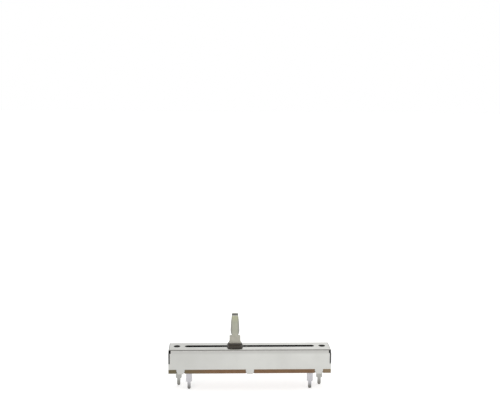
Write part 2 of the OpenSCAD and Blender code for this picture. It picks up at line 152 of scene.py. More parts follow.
class Graph:
    """A node tree with short ways to add and join its nodes."""

    def __init__(self, tree: bpy.types.NodeTree) -> None:
        """Wraps a tree.

        Args:
            tree: The tree to add nodes to.
        """
        self.tree = tree

    def add(self, kind: str, settings: dict[str, Any] | None = None,
            **inputs: Any) -> bpy.types.Node:
        """Adds one node.

        Args:
            kind: The node's type, such as ShaderNodeMath.
            settings: Properties of the node itself.
            **inputs: Values or sockets for its inputs, by name with underscores for spaces, or
                by number as in in0.

        Returns:
            The new node.
        """
        node = self.tree.nodes.new(kind)
        for key, value in (settings or {}).items():
            setattr(node, key, value)
        for key, value in inputs.items():
            is_number = key.startswith("in") and key[2:].isdigit()
            socket = node.inputs[int(key[2:])] if is_number else node.inputs[key.replace("_", " ")]
            self.feed(socket, value)
        return node

    def feed(self, socket: bpy.types.NodeSocket, value: Any) -> None:
        """Links a socket, or sets its value.

        Args:
            socket: The input.
            value: An output socket, a number, a vector or a colour.
        """
        if isinstance(value, bpy.types.NodeSocket):
            self.tree.links.new(value, socket)
        elif socket.type == "RGBA" and len(value) == 3:
            socket.default_value = (*value, 1.0)
        else:
            socket.default_value = value

    def math(self, operation: str, first: Any, second: Any = 0.0, clamp: bool = False) -> Any:
        """Adds a Math node and returns its output."""
        settings = {"operation": operation, "use_clamp": clamp}
        return self.add("ShaderNodeMath", settings, in0=first, in1=second).outputs[0]

    def over(self, value: Any, limit: float) -> Any:
        """Masks where a value is over a limit, and returns the mask."""
        return self.math("GREATER_THAN", value, limit)

    def under(self, value: Any, limit: float) -> Any:
        """Masks where a value is under a limit, and returns the mask."""
        return self.math("LESS_THAN", value, limit)

    def times(self, first: Any, *others: Any) -> Any:
        """Multiplies values or masks.

        Args:
            first: The first factor.
            *others: The other factors, in order.

        Returns:
            The product's output.
        """
        for other in others:
            first = self.math("MULTIPLY", first, other)
        return first

    def mix(self, factor: Any, first: Any, second: Any, what: Mixed = Mixed.COLORS) -> Any:
        """Mixes two values.

        Args:
            factor: How much of the second shows.
            first: What shows at factor 0.
            second: What shows at factor 1.
            what: Whether they are colours or numbers.

        Returns:
            The mixed output.
        """
        data_type, first_input, second_input, output = what.value
        node = self.add("ShaderNodeMix", {"data_type": data_type})
        self.feed(node.inputs[0], factor)
        self.feed(node.inputs[first_input], first)
        self.feed(node.inputs[second_input], second)
        return node.outputs[output]

    def ramp(self, value: Any, low: float, high: float) -> Any:
        """Eases a value from 0 at low to 1 at high, and holds it beyond them.

        Args:
            value: The socket to map.
            low: The value that gives 0.
            high: The value that gives 1.

        Returns:
            The mapped output.
        """
        node = self.add("ShaderNodeMapRange", {"interpolation_type": "SMOOTHSTEP"},
                        Value=value, From_Min=low, From_Max=high)
        return node.outputs["Result"]


class GroupGraph(Graph):
    """A node group under construction, with its inputs as given and its outputs as result."""

    def __init__(self, name: str, kind: str, inputs: dict[str, tuple[Socket, Any]],
                 outputs: dict[str, Socket]) -> None:
        """Starts a group and makes its sockets.

        Args:
            name: The group's name.
            kind: The tree's type, such as ShaderNodeTree.
            inputs: Kind and default of each input, by name.
            outputs: Kind of each output, by name.
        """
        super().__init__(bpy.data.node_groups.new(name, kind))
        sockets = self.tree.interface
        for title, (socket, default) in inputs.items():
            made = sockets.new_socket(name=title, in_out="INPUT", socket_type=socket.value)
            made.default_value = default
        for title, socket in outputs.items():
            sockets.new_socket(name=title, in_out="OUTPUT", socket_type=socket.value)
        self.given = self.tree.nodes.new("NodeGroupInput").outputs
        self.result = self.tree.nodes.new("NodeGroupOutput").inputs


class GroupKit:
    """The shader node groups that several finishes share, each built once."""

    noise_middle: float = 0.5
    mottle_span: Span = (0.3, 0.7)
    rub_span: Span = (0.45, 0.68)
    rub_distortion: float = 0.8
    line_in_roughness: float = 0.4
    pit_share: float = 0.5
    flow_scale: float = 700.0

    def __init__(self) -> None:
        """Builds the groups."""
        self.mottle = self._mottle()
        self.rolled = self._rolled()
        self.skin = self._skin()
        self.handling = self._handling()

    def _mottle(self) -> bpy.types.NodeTree:
        """Makes the soft uneven tone that light and handling leave on any surface.

        Returns:
            The group.
        """
        graph = GroupGraph(
            "soft_mottle", "ShaderNodeTree",
            {"Color": (Socket.COLOR, GREY), "Scale": (Socket.NUMBER, 120.0),
             "Amount": (Socket.NUMBER, 0.06), "Tint": (Socket.COLOR, GREY)},
            {"Color": Socket.COLOR},
        )
        coord = graph.add("ShaderNodeTexCoord").outputs["Object"]
        noise = graph.add("ShaderNodeTexNoise", Vector=coord, Scale=graph.given["Scale"],
                          Detail=4.0)
        patches = graph.ramp(noise.outputs["Fac"], *self.mottle_span)
        share = graph.times(patches, graph.given["Amount"])
        mixed = graph.mix(share, graph.given["Color"], graph.given["Tint"])
        graph.feed(graph.result["Color"], mixed)
        return graph.tree

    def _rolled(self) -> bpy.types.NodeTree:
        """Makes the fine lines of rolled sheet metal, drawn out along X.

        Returns:
            The group.
        """
        graph = GroupGraph(
            "rolled_grain", "ShaderNodeTree",
            {"Fineness": (Socket.NUMBER, 6000.0), "Stretch": (Socket.NUMBER, 0.02),
             "Contrast": (Socket.NUMBER, 0.5)},
            {"Height": Socket.NUMBER, "Roughness Shift": Socket.NUMBER},
        )
        coord = graph.add("ShaderNodeTexCoord").outputs["Object"]
        split = graph.add("ShaderNodeSeparateXYZ", Vector=coord).outputs
        drawn = graph.times(split["X"], graph.given["Stretch"])
        joined = graph.add("ShaderNodeCombineXYZ", X=drawn, Y=split["Y"], Z=split["Z"])
        lines = graph.add("ShaderNodeTexNoise", Vector=joined.outputs[0],
                          Scale=graph.given["Fineness"], Detail=3.0)
        centred = graph.math("SUBTRACT", lines.outputs["Fac"], self.noise_middle)
        scaled = graph.times(centred, graph.given["Contrast"])
        graph.feed(graph.result["Height"], scaled)
        shift = graph.times(scaled, self.line_in_roughness)
        graph.feed(graph.result["Roughness Shift"], shift)
        return graph.tree

    def _skin(self) -> bpy.types.NodeTree:
        """Makes the faint grain of moulded plastic, printed ink and paper board.

        Returns:
            The group.
        """
        graph = GroupGraph(
            "moulded_skin", "ShaderNodeTree",
            {"Grain": (Socket.NUMBER, 5000.0), "Depth": (Socket.NUMBER, 1.0)},
            {"Height": Socket.NUMBER},
        )
        coord = graph.add("ShaderNodeTexCoord").outputs["Object"]
        pits = graph.add("ShaderNodeTexVoronoi", Vector=coord, Scale=graph.given["Grain"])
        flow = graph.add("ShaderNodeTexNoise", Vector=coord, Scale=self.flow_scale, Detail=2.0)
        pitted = graph.times(pits.outputs["Distance"], self.pit_share)
        both = graph.math("ADD", pitted, flow.outputs["Fac"])
        graph.feed(graph.result["Height"], graph.times(both, graph.given["Depth"]))
        return graph.tree

    def _handling(self) -> bpy.types.NodeTree:
        """Makes the faint rub marks and smudges that change how rough a surface is.

        Returns:
            The group.
        """
        graph = GroupGraph(
            "handling_marks", "ShaderNodeTree",
            {"Roughness": (Socket.NUMBER, 0.4), "Amount": (Socket.NUMBER, 0.1),
             "Scale": (Socket.NUMBER, 260.0)},
            {"Roughness": Socket.NUMBER},
        )
        coord = graph.add("ShaderNodeTexCoord").outputs["Object"]
        noise = graph.add("ShaderNodeTexNoise", Vector=coord, Scale=graph.given["Scale"],
                          Detail=6.0, Distortion=self.rub_distortion)
        rubbed = graph.ramp(noise.outputs["Fac"], *self.rub_span)
        shift = graph.times(rubbed, graph.given["Amount"])
        rough = graph.math("ADD", graph.given["Roughness"], shift, clamp=True)
        graph.feed(graph.result["Roughness"], rough)
        return graph.tree


class MaterialGraph(Graph):
    """A material under construction, with the place and the normal of each point at hand."""

    def __init__(self, name: str) -> None:
        """Starts an empty material.

        Args:
            name: The material's name.
        """
        self.material = bpy.data.materials.new(name)
        self.material.use_nodes = True
        super().__init__(self.material.node_tree)
        self.tree.nodes.clear()
        self.coord = self.add("ShaderNodeTexCoord").outputs["Object"]
        self.place = self.add("ShaderNodeSeparateXYZ", Vector=self.coord).outputs
        facing = self.add("ShaderNodeNewGeometry").outputs["Normal"]
        self.normal = self.add("ShaderNodeSeparateXYZ", Vector=facing).outputs

    def group(self, tree: bpy.types.NodeTree, **inputs: Any) -> bpy.types.Node:
        """Places a shared group with its own values, and returns its node."""
        return self.add("ShaderNodeGroup", {"node_tree": tree}, **inputs)

    def bump(self, height: Any, distance: float) -> Any:
        """Adds a bump of a height in metres and returns its normal."""
        node = self.add("ShaderNodeBump", Height=height, Strength=1.0, Distance=distance)
        return node.outputs["Normal"]

    def finish(self, metallic: float, **inputs: Any) -> bpy.types.Material:
        """Adds the surface shader and the output.

        Args:
            metallic: 1 for metal and 0 for anything else.
            **inputs: The shader's other inputs.

        Returns:
            The finished material.
        """
        shader = self.add("ShaderNodeBsdfPrincipled", Metallic=metallic, **inputs)
        self.add("ShaderNodeOutputMaterial", Surface=shader.outputs[0])
        return self.material


@dataclass(frozen=True)
class MetalSurface:
    """How a metal surface is worked: its rolled lines and the marks of handling."""

    roughness: float = 0.36
    fineness: float = 7000.0
    stretch: float = 0.3
    contrast: float = 0.4
    mark_amount: float = 0.14
    mark_scale: float = 500.0
    lines_scatter: bool = False

    def finish(self, g: MaterialGraph, groups: GroupKit, colour: Any) -> bpy.types.Material:
        """Finishes a material as this metal.

        Args:
            g: The material under construction.
            groups: The shared node groups.
            colour: The metal's colour.

        Returns:
            The material.
        """
        lines = g.group(groups.rolled, Fineness=self.fineness, Stretch=self.stretch,
                        Contrast=self.contrast)
        marks = g.group(groups.handling, Roughness=self.roughness, Amount=self.mark_amount,
                        Scale=self.mark_scale)
        rough = marks.outputs["Roughness"]
        if self.lines_scatter:
            rough = g.math("ADD", rough, lines.outputs["Roughness Shift"])
        return g.finish(1.0, Base_Color=colour, Roughness=rough,
                        Normal=g.bump(lines.outputs["Height"], FINE_BUMP))


@dataclass(frozen=True)
class TinnedSheet:
    """Finish of the folded case: tin-plated steel with bare cut edges; painted seam shade darkens
    the flaps' edges, and painted shade blackens its inside, slot, holes and corner notches.

    The sheet carries painted shading that pales from left to right between two shares of its
    length, counted from its middle. It has painted shade under the fold, whose two distances are
    counted below the top, and a painted dark reflection on the bend, which is told from the upward
    share of its normal.
    """

    # left and right: painted shading, darker at the case's left end and paler at its right end
    left: Color = srgb(206, 206, 202)
    right: Color = srgb(218, 218, 214)
    smudge: Color = srgb(186, 186, 181)
    # painted shade on the walls just under the fold
    under_fold_shade: Color = srgb(188, 187, 183)
    # painted dark reflection on the bend, darker at the left end than at the right
    bend_reflection_left: Color = srgb(96, 94, 90)
    bend_reflection_right: Color = srgb(118, 115, 112)
    # bare steel of the flaps' cut edges, darkened further by painted shade of the seam
    cut_edge_and_seam_shade: Color = srgb(78, 77, 75)
    shade: Color = srgb(16, 15, 15)
    pale_shares: Span = (-0.5, 0.25)
    smudge_scale: float = 70.0
    smudge_amount: float = 0.35
    fold_shade_from: float = 0.6 * MM
    fold_shade_to: float = 2.2 * MM
    fold_shade_amount: float = 0.8
    bend_start: Span = (0.2, 0.6)
    bend_end: Span = (0.8, 0.98)
    bend_reflection_amount: float = 0.8
    tolerance: float = 0.03 * MM
    surface: MetalSurface = MetalSurface(
        roughness=0.34, fineness=5200.0, stretch=0.03, contrast=0.5, mark_amount=0.12,
        mark_scale=160.0, lines_scatter=True)

    def build(self, groups: GroupKit, case: FoldedCase) -> bpy.types.Material:
        """Makes the material.

        Args:
            groups: The shared node groups.
            case: The case's sizes.

        Returns:
            The material.
        """
        g = MaterialGraph("tinned_sheet")
        # painted shading: the sheet pales from left to right
        pale_from, pale_to = self.pale_shares
        along = g.ramp(g.place["X"], case.length * pale_from, case.length * pale_to)
        tone = g.group(groups.mottle, Color=g.mix(along, self.left, self.right),
                       Scale=self.smudge_scale, Amount=self.smudge_amount, Tint=self.smudge)
        wall = g.over(g.math("ABSOLUTE", g.normal["Y"]), FACING)
        folded = self._painted_fold_and_bend(g, case, tone.outputs["Color"], along, wall)
        far_x = g.math("ABSOLUTE", g.place["X"])
        far_y = g.math("ABSOLUTE", g.place["Y"])
        flap = self._flap_edge(g, case, far_x, far_y)
        # the flaps' cut edges: bare steel with painted seam shade
        edged = g.mix(g.times(flap, wall), folded, self.cut_edge_and_seam_shade)
        shaded = g.math("MAXIMUM", self._inside(g, case, far_x, far_y),
                        self._relief(g, case, far_x, far_y))
        return self.surface.finish(g, groups, g.mix(shaded, edged, self.shade))

    def _painted_fold_and_bend(self, g: MaterialGraph, case: FoldedCase, tone: Any, along: Any,
                wall: Any) -> Any:
        """Paints shade on the walls under the fold and a dark reflection on the bend.

        Args:
            g: The material under construction.
            case: The case's sizes.
            tone: The sheet's colour so far.
            along: 0 at the left and 1 at the right of the case.
            wall: Mask of the front and rear walls.

        Returns:
            The new colour.
        """
        # painted shade on the front and rear walls under the fold
        fold = g.ramp(g.place["Z"], case.top - self.fold_shade_to, case.top - self.fold_shade_from)
        walls = g.mix(g.times(wall, fold, self.fold_shade_amount), tone, self.under_fold_shade)
        # painted dark reflection on the bend, from the upward share of its normal
        rise = g.normal["Z"]
        not_flat = g.math("SUBTRACT", 1.0, g.ramp(rise, *self.bend_end))
        bend = g.times(g.ramp(rise, *self.bend_start), not_flat, self.bend_reflection_amount)
        return g.mix(bend, walls, g.mix(along, self.bend_reflection_left, self.bend_reflection_right))

    def _flap_edge(self, g: MaterialGraph, case: FoldedCase, far_x: Any, far_y: Any) -> Any:
        """Masks the cut edges of the end flaps, above the ears.

        Args:
            g: The material under construction.
            case: The case's sizes.
            far_x: Distance from the case's middle along X.
            far_y: Distance from the case's middle along Y.

        Returns:
            The mask, before it is held to the walls.
        """
        end = g.over(far_x, case.length / 2 - case.sheet - case.seam / 2)
        outside = g.over(far_y, case.depth / 2 - self.tolerance)
        above = g.over(g.place["Z"], case.board_top + case.ear + self.tolerance)
        return g.times(end, outside, above)

    def _inside(self, g: MaterialGraph, case: FoldedCase, far_x: Any, far_y: Any) -> Any:
        """Masks the sheet's inner side and the walls of its slot and holes.

        Args:
            g: The material under construction.
            case: The case's sizes.
            far_x: Distance from the case's middle along X.
            far_y: Distance from the case's middle along Y.

        Returns:
            The mask.
        """
        in_x = g.under(far_x, case.length / 2 - case.sheet + self.tolerance)
        in_y = g.under(far_y, case.depth / 2 - case.sheet + self.tolerance)
        in_z = g.under(g.place["Z"], case.top - case.sheet + self.tolerance)
        upright = g.under(g.math("ABSOLUTE", g.normal["Z"]), UPRIGHT)
        near_middle = g.under(far_y, case.depth / 4)
        return g.math("MAXIMUM", g.times(in_x, in_y, in_z), g.times(upright, near_middle, in_x))

    def _relief(self, g: MaterialGraph, case: FoldedCase, far_x: Any, far_y: Any) -> Any:
        """Masks the notches at the case's four upper corners.

        Args:
            g: The material under construction.
            case: The case's sizes.
            far_x: Distance from the case's middle along X.
            far_y: Distance from the case's middle along Y.

        Returns:
            The mask.
        """
        notch_x = case.length / 2 - case.relief_length
        notch_y = case.depth / 2 - case.sheet - case.relief_depth
        notch_top = case.top - case.relief_drop
        notch_foot = notch_top - case.relief_height
        return g.times(g.over(far_x, notch_x - self.tolerance),
                       g.over(far_y, notch_y - self.tolerance),
                       g.over(g.place["Z"], notch_foot - self.tolerance),
                       g.under(g.place["Z"], notch_top + self.tolerance))


@dataclass(frozen=True)
class PaperLaminate:
    """Finish of the base board: brown resin-bonded paper, punched, with a layered edge.

    Its tone changes near both ends, between two shares of its length from the middle.
    """

    left: Color = srgb(104, 97, 70)
    middle: Color = srgb(125, 94, 63)
    right: Color = srgb(144, 125, 97)
    fibre: Color = srgb(92, 66, 46)
    left_shares: Span = (-0.48, -0.2)
    right_shares: Span = (0.35, 0.5)
    layer_stretch: tuple[float, float, float] = (0.012, 0.012, 1.0)
    layer_scale: float = 9000.0
    layer_span: Span = (0.4, 0.75)
    layer_amount: float = 0.32
    mottle_scale: float = 420.0
    mottle_amount: float = 0.22
    grain_scale: float = 2500.0
    grain_depth: float = 0.5
    roughness: float = 0.62
    bump_height: float = 0.006 * MM

    def build(self, groups: GroupKit, length: float) -> bpy.types.Material:
        """Makes the material.

        Args:
            groups: The shared node groups.
            length: Length of the board.

        Returns:
            The material.
        """
        g = MaterialGraph("paper_laminate")
        from_left = g.ramp(g.place["X"], *(length * share for share in self.left_shares))
        to_right = g.ramp(g.place["X"], *(length * share for share in self.right_shares))
        base = g.mix(to_right, g.mix(from_left, self.left, self.middle), self.right)
        stretched = g.add("ShaderNodeMapping", Vector=g.coord, Scale=self.layer_stretch)
        layers = g.add("ShaderNodeTexNoise", Vector=stretched.outputs[0], Scale=self.layer_scale,
                       Detail=3.0)
        dark = g.times(g.ramp(layers.outputs["Fac"], *self.layer_span), self.layer_amount)
        tone = g.group(groups.mottle, Color=g.mix(dark, base, self.fibre), Scale=self.mottle_scale,
                       Amount=self.mottle_amount, Tint=self.fibre)
        skin = g.group(groups.skin, Grain=self.grain_scale, Depth=self.grain_depth)
        height = g.math("ADD", layers.outputs["Fac"], skin.outputs["Height"])
        return g.finish(0.0, Base_Color=tone.outputs["Color"], Roughness=self.roughness,
                        Normal=g.bump(height, self.bump_height))


@dataclass(frozen=True)
class PlatedMetal:
    """Finish of a metal piece whose tone changes between two heights."""

    name: str
    low: Color
    high: Color
    tint: Color
    heights: Span
    surface: MetalSurface = MetalSurface()
    mottle_scale: float = 420.0
    mottle_amount: float = 0.25

    def build(self, groups: GroupKit) -> bpy.types.Material:
        """Makes the material.

        Args:
            groups: The shared node groups.

        Returns:
            The material.
        """
        g = MaterialGraph(self.name)
        base = g.mix(g.ramp(g.place["Z"], *self.heights), self.low, self.high)
        tone = g.group(groups.mottle, Color=base, Scale=self.mottle_scale,
                       Amount=self.mottle_amount, Tint=self.tint)
        return self.surface.finish(g, groups, tone.outputs["Color"])


@dataclass(frozen=True)
class NickelBlade:
    """Finish of the lever: dull nickel, paler at its root, with a painted dark reflection on the
    bevel at its tip and a painted glint under it.

    The root's tone turns to the grip's between two shares of the height over the case, counted
    from the case, and the grip's to the tip's between two shares counted from the tip.
    """

    root: Color = srgb(186, 183, 172)
    grip: Color = srgb(174, 175, 160)
    tip: Color = srgb(178, 180, 152)
    stain: Color = srgb(160, 159, 148)
    # painted shade on the grip's rounded narrow sides
    edge: Color = srgb(140, 139, 134)
    # painted dark reflection on the tip's bevel
    bevel: Color = srgb(104, 104, 100)
    # painted glint under the bevel
    glint: Color = srgb(206, 205, 196)
    root_to_grip: Span = (0.15, 0.5)
    grip_to_tip: Span = (0.35, 0.1)
    stain_scale: float = 420.0
    stain_amount: float = 0.35
    edge_span: Span = (0.7 * MM, 1.5 * MM)
    edge_from: float = 0.36
    edge_amount: float = 0.85
    bevel_height: float = 0.7 * MM
    glint_height: float = 0.25 * MM
    glint_core: float = 0.6
    surface: MetalSurface = MetalSurface(roughness=0.42)

    def build(self, groups: GroupKit, low: Vector, high: Vector,
              case_top: float) -> bpy.types.Material:
        """Makes the material.

        Args:
            groups: The shared node groups.
            low: Lowest corner of the lever's box.
            high: Highest corner of the lever's box.
            case_top: Height of the case's top face.

        Returns:
            The material.
        """
        g = MaterialGraph("nickel_blade")
        height = g.place["Z"]
        rise = high.z - case_top
        lower = g.mix(g.ramp(height, *(case_top + rise * share for share in self.root_to_grip)),
                      self.root, self.grip)
        base = g.mix(g.ramp(height, *(high.z - rise * share for share in self.grip_to_tip)),
                     lower, self.tip)
        tone = g.group(groups.mottle, Color=base, Scale=self.stain_scale,
                       Amount=self.stain_amount, Tint=self.stain).outputs["Color"]
        # painted shade towards the grip's two narrow sides
        sides = self._side_shaded(g, tone, (low.x + high.x) / 2, case_top + rise * self.edge_from)
        return self.surface.finish(g, groups, self._tipped(g, sides, high.z - self.bevel_height))

    def _side_shaded(self, g: MaterialGraph, tone: Any, middle: float, foot: float) -> Any:
        """Paints shade on the grip towards its two narrow sides.

        Args:
            g: The material under construction.
            tone: The blade's colour so far.
            middle: The blade's middle along X.
            foot: Height where the grip starts.

        Returns:
            The new colour.
        """
        off = g.math("ABSOLUTE", g.math("SUBTRACT", g.place["X"], middle))
        edged = g.mix(g.ramp(off, *self.edge_span), tone, self.edge)
        grip = g.over(g.place["Z"], foot)
        return g.mix(g.times(grip, self.edge_amount), tone, edged)

    def _tipped(self, g: MaterialGraph, tone: Any, foot: float) -> Any:
        """Paints a dark reflection on the bevel and a glint under it.

        Args:
            g: The material under construction.
            tone: The blade's colour so far.
            foot: Height of the bevel's foot.

        Returns:
            The new colour.
        """
        height = g.place["Z"]
        band = g.times(g.ramp(height, foot - self.glint_height,
                              foot - self.glint_height * self.glint_core),
                       g.under(height, foot))
        # painted glint band under the bevel
        lit = g.mix(band, tone, self.glint)
        # painted dark reflection on the upward-facing bevel
        sloped = g.times(g.over(height, foot), g.under(g.normal["Z"], FACING))
        return g.mix(sloped, lit, self.bevel)


@dataclass(frozen=True)
class MouldedPlastic:
    """Finish of a moulded piece, satin, with a faint skin and worn patches."""

    name: str
    color: Color
    worn: Color
    roughness: float = 0.45
    wear: float = 0.3
    wear_scale: float = 380.0
    mark_amount: float = 0.15
    mark_scale: float = 600.0
    grain_scale: float = 6000.0
    grain_depth: float = 1.0
    bump_height: float = 0.006 * MM
    glow_through: float = 0.0
    glow_reach: float = 1.5 * MM
    glow_tint: Color = (1.0, 0.95, 0.9)

    def build(self, groups: GroupKit) -> bpy.types.Material:
        """Makes the material.

        Args:
            groups: The shared node groups.

        Returns:
            The material.
        """
        g = MaterialGraph(self.name)
        tone = g.group(groups.mottle, Color=self.color, Scale=self.wear_scale, Amount=self.wear,
                       Tint=self.worn)
        marks = g.group(groups.handling, Roughness=self.roughness, Amount=self.mark_amount,
                        Scale=self.mark_scale)
        skin = g.group(groups.skin, Grain=self.grain_scale, Depth=self.grain_depth)
        return g.finish(0.0, Base_Color=tone.outputs["Color"],
                        Roughness=marks.outputs["Roughness"],
                        Subsurface_Weight=self.glow_through, Subsurface_Scale=self.glow_reach,
                        Subsurface_Radius=self.glow_tint,
                        Normal=g.bump(skin.outputs["Height"], self.bump_height))


@dataclass(frozen=True)
class PrintedFilm:
    """Finish of a screen-printed track: carbon or silver ink with a fine matte grain."""

    name: str
    color: Color
    speck: Color
    metallic: float
    roughness: float
    speck_scale: float = 2500.0
    speck_amount: float = 0.5
    grain_scale: float = 9000.0
    grain_depth: float = 0.6

    def build(self, groups: GroupKit) -> bpy.types.Material:
        """Makes the material.

        Args:
            groups: The shared node groups.

        Returns:
            The material.
        """
        g = MaterialGraph(self.name)
        tone = g.group(groups.mottle, Color=self.color, Scale=self.speck_scale,
                       Amount=self.speck_amount, Tint=self.speck)
        skin = g.group(groups.skin, Grain=self.grain_scale, Depth=self.grain_depth)
        return g.finish(self.metallic, Base_Color=tone.outputs["Color"], Roughness=self.roughness,
                        Normal=g.bump(skin.outputs["Height"], FINE_BUMP))


@dataclass(frozen=True)
class PhotoCamera:
    """Camera at the photograph's viewing angle."""

    place_mm: tuple[float, float, float] = (-12.74, -298.11, 112.2)
    yaw_deg: float = -2.388
    pitch_deg: float = -8.205
    roll_deg: float = -0.48
    focal_px: float = 829.2
    image_w_px: int = 500
    sensor_mm: float = 36.0
    clip_start: float = 0.01
    clip_end: float = 50.0

    def build(self) -> None:
        """Makes the camera and gives it to the scene."""
        data = bpy.data.cameras.new("photo_camera")
        data.sensor_fit = "HORIZONTAL"
        data.sensor_width = self.sensor_mm
        data.lens = self.focal_px / self.image_w_px * self.sensor_mm
        data.clip_start = self.clip_start
        data.clip_end = self.clip_end
        camera = bpy.data.objects.new("photo_camera", data)
        upright = Matrix.Rotation(math.radians(90.0), 4, "X")
        turn = (Matrix.Rotation(math.radians(self.yaw_deg), 4, "Z")
                @ Matrix.Rotation(math.radians(self.pitch_deg), 4, "X")
                @ Matrix.Rotation(math.radians(self.roll_deg), 4, "Y") @ upright)
        camera.matrix_world = Matrix.Translation(Vector(self.place_mm) * MM) @ turn
        bpy.context.collection.objects.link(camera)
        bpy.context.scene.camera = camera


@dataclass(frozen=True)
class Softbox:
    """One square lamp that faces the part."""

    name: str
    place: tuple[float, float, float]
    size: float
    watts: float

    def build(self) -> None:
        """Hangs the lamp."""
        data = bpy.data.lights.new(self.name, "AREA")
        data.size = self.size
        data.energy = self.watts
        lamp = bpy.data.objects.new(self.name, data)
        lamp.location = self.place
        lamp.rotation_euler = (-Vector(self.place)).to_track_quat("-Z", "Y").to_euler()
        bpy.context.collection.objects.link(lamp)


@dataclass(frozen=True)
class Studio:
    """Plain pale floor, white surround and soft lamps.

    The floor glows a little near the part and turns white between two distances from it. What
    metal mirrors has a level of its own: mirrored_glow for the floor, and zenith_glint for the
    surround where it is overhead.
    """

    floor_size: float = 6.0
    floor_color: Color = (0.86, 0.86, 0.86)
    clear_span: Span = (0.05, 0.30)
    near_glow: float = 0.5
    mirrored_glow: float = 0.26
    sky_light: float = 0.70
    overhead_span: Span = (0.55, 0.85)
    zenith_glint: float = 0.75
    lamps: tuple[Softbox, ...] = (
        Softbox("key_lamp", place=(-0.26, -0.50, 0.30), size=0.36, watts=0.9),
        Softbox("fill_lamp", place=(0.50, -0.30, 0.25), size=0.40, watts=0.4),
        Softbox("rear_lamp", place=(0.10, 0.50, 0.62), size=0.30, watts=0.2),
    )

    def build(self) -> None:
        """Makes the floor, the world and the lamps."""
        self._floor()
        self._world()
        for lamp in self.lamps:
            lamp.build()
        bpy.context.scene.view_settings.view_transform = "Standard"

    @staticmethod
    def _rays(graph: Graph) -> tuple[Any, Any]:
        """Adds masks of the rays that reach a surface.

        Args:
            graph: The tree to add to.

        Returns:
            The mask of camera rays, and that of mirrored and transmitted ones.
        """
        path = graph.add("ShaderNodeLightPath").outputs
        mirrored = graph.math("MAXIMUM", path["Is Glossy Ray"], path["Is Transmission Ray"])
        return path["Is Camera Ray"], mirrored

    def _floor(self) -> None:
        """Lays the floor at the level of the terminals' tips."""
        half = self.floor_size / 2
        mesh = bpy.data.meshes.new("floor")
        corners = [(-half, -half, 0.0), (half, -half, 0.0), (half, half, 0.0), (-half, half, 0.0)]
        mesh.from_pydata(corners, [], [(0, 1, 2, 3)])
        floor = bpy.data.objects.new("floor", mesh)
        bpy.context.collection.objects.link(floor)
        g = MaterialGraph("pale_floor")
        direct, mirrored = self._rays(g)
        away = g.add("ShaderNodeVectorMath", {"operation": "LENGTH"}, in0=g.coord)
        clear = g.ramp(away.outputs["Value"], *self.clear_span)
        shown = g.times(direct, g.mix(clear, self.near_glow, 1.0, Mixed.NUMBERS))
        level = g.math("ADD", shown, g.times(mirrored, self.mirrored_glow))
        card = g.add("ShaderNodeBsdfDiffuse", Color=self.floor_color)
        glow = g.add("ShaderNodeEmission", Color=WHITE, Strength=level)
        both = g.add("ShaderNodeAddShader", in0=card.outputs[0], in1=glow.outputs[0])
        g.add("ShaderNodeOutputMaterial", Surface=both.outputs[0])
        mesh.materials.append(g.material)

    def _world(self) -> None:
        """Surrounds the part with white, darker overhead as a studio's ceiling is."""
        world = bpy.data.worlds.new("surround")
        bpy.context.scene.world = world
        world.use_nodes = True
        graph = Graph(world.node_tree)
        graph.tree.nodes.clear()
        direct, mirrored = self._rays(graph)
        around = graph.add("ShaderNodeTexCoord").outputs["Generated"]
        up = graph.add("ShaderNodeSeparateXYZ", Vector=around).outputs["Z"]
        overhead = graph.ramp(up, *self.overhead_span)
        glint = graph.mix(overhead, 1.0, self.zenith_glint, Mixed.NUMBERS)
        level = graph.mix(mirrored, self.sky_light, glint, Mixed.NUMBERS)
        strength = graph.mix(direct, level, 1.0, Mixed.NUMBERS)
        sky = graph.add("ShaderNodeBackground", Color=WHITE, Strength=strength)
        graph.add("ShaderNodeOutputWorld", Surface=sky.outputs[0])


